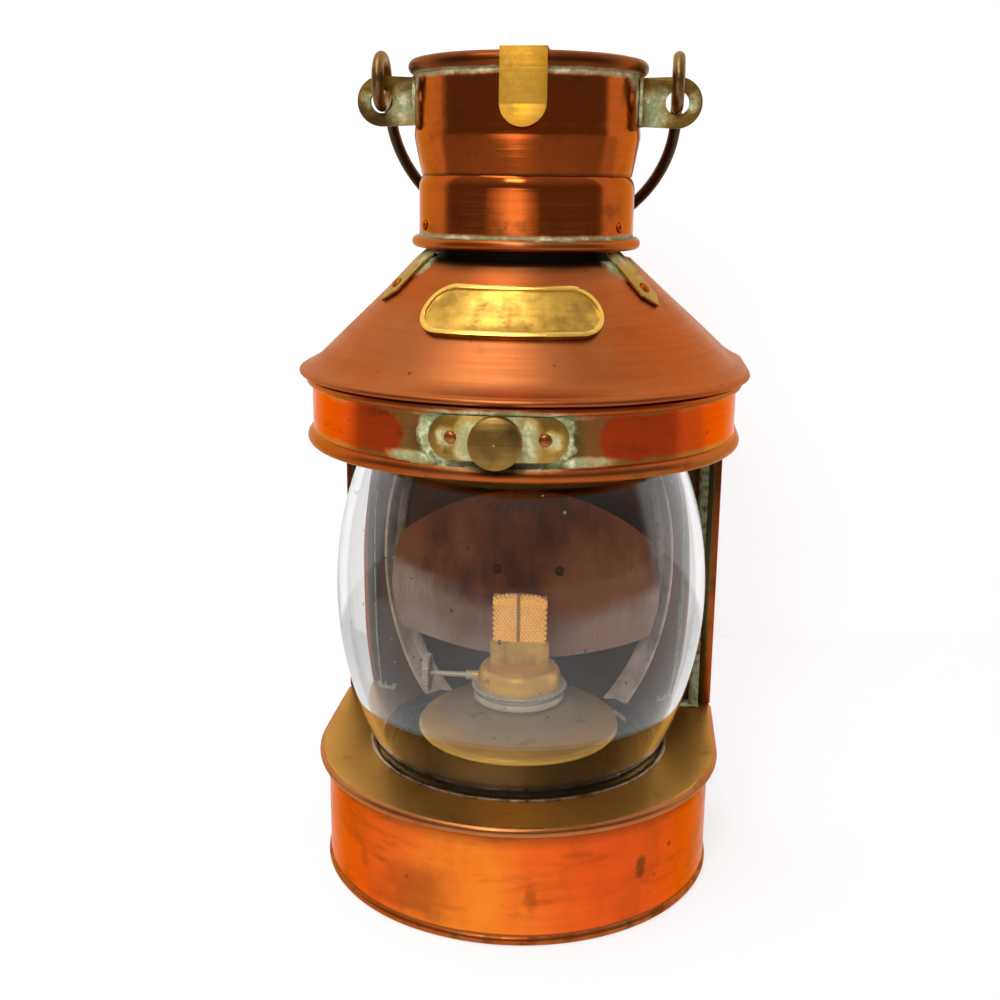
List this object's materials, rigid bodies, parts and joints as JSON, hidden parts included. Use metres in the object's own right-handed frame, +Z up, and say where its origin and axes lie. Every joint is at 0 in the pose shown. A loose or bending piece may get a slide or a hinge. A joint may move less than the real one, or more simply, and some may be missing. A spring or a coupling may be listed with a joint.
{
  "type": "masthead lantern",
  "caption": "Oil-burning ship's masthead lantern with a U-shaped copper case, barrel glass, wick lamp, hinged flared roof, capped chimney and swinging bail.",
  "frame": {"origin": "on the base's underside, at the centre of the rounded front", "axes": "+Z up, -Y towards the glass, the flat back faces +Y"},
  "size_m": [0.202, 0.1749, 0.3729],
  "materials": {
    "copper": "tarnished copper sheet, satin",
    "dark_copper": "dark, heat-browned copper sheet",
    "copper_rivet": "worn copper rivet heads",
    "dull_brass": "dull olive-brown brass",
    "brass": "yellow brass with green tarnish",
    "bronze": "dark bronze, rubbed",
    "glass": "clear, slightly wavy, with seeds",
    "cotton": "woven cotton"
  },
  "bodies": {
    "lantern": {"base_wall": "copper", "base_floor": "dark_copper", "base_top": "dull_brass", "lamp_well": "dull_brass", "lens_seat": "brass", "lens_glass": "glass", "lens_rail_left": "brass", "lens_rail_right": "brass", "lens_head_ring": "brass", "back_panel": "dark_copper", "post_left": "brass", "post_right": "brass", "post_rivets": "brass", "reflector": "dark_copper", "reflector_studs": "brass", "reflector_rivets": "brass", "band_wall": "copper", "band_floor": "dull_brass", "latch_plate": "brass", "latch_rivets": "copper_rivet", "hinge_leaf_lower": "brass", "hinge_pin": "brass", "hinge_rivets_lower": "copper_rivet", "font": "brass", "burner_collar": "dull_brass", "burner_dome": "dull_brass", "wick_tube": "brass"},
    "roof": {"roof_cone": "copper", "roof_skirt": "dark_copper", "roof_keeper": "brass", "label_plate": "brass", "flue_collar": "dark_copper", "strap_left": "brass", "strap_right": "brass", "strap_rear": "brass", "strap_rivets": "copper_rivet", "chimney_drum": "copper", "chimney_rivets": "copper_rivet", "chimney_cowl": "copper", "ear_left": "brass", "ear_right": "brass", "ear_rivets": "copper_rivet", "hinge_leaf_upper": "brass", "hinge_rivets_upper": "copper_rivet", "lid_hinge_bracket": "brass", "lid_hinge_pin": "brass"},
    "lid": {"chimney_lid": "copper", "lid_hinge_strap": "brass", "lid_clasp": "brass", "lid_rivets": "copper_rivet"},
    "bail": {"bail": "bronze"},
    "latch": {"latch_knob": "bronze", "latch_spindle": "bronze", "latch_tongue": "brass"},
    "wick_knob": {"wick_shaft": "brass", "thumb_wheel": "dull_brass"},
    "wick": {"wick": "cotton"}
  },
  "joints": [
    {"name": "roof_hinge", "type": "hinge", "parent": "lantern", "child": "roof", "pos_m": [0, 0.0632, 0.2366], "axis": [-1, 0, 0], "range_deg": [0, 85]},
    {"name": "lid_hinge", "type": "hinge", "parent": "roof", "child": "lid", "pos_m": [0, 0.0551, 0.36923], "axis": [-1, 0, 0], "range_deg": [0, 100]},
    {"name": "bail_swing", "type": "hinge", "parent": "roof", "child": "bail", "pos_m": [0, 0, 0.3601], "axis": [1, 0, 0], "range_deg": [0, 205]},
    {"name": "latch_turn", "type": "hinge", "parent": "lantern", "child": "latch", "pos_m": [-0.0015, -0.095, 0.2222], "axis": [0, 1, 0], "range_deg": [0, 90]},
    {"name": "wick_turn", "type": "hinge", "parent": "lantern", "child": "wick_knob", "pos_m": [0, 0.0052, 0.0855], "axis": [-1, 0, 0], "range_deg": [-120, 240]},
    {"name": "wick_slide", "type": "slide", "parent": "lantern", "child": "wick", "axis": [0, 0, 1], "range_m": [-0.0073, 0.0144]}
  ],
  "couplings": [
    {"joint": "wick_slide", "follows": "wick_turn", "m_per_rad": 0.0034}
  ]
}
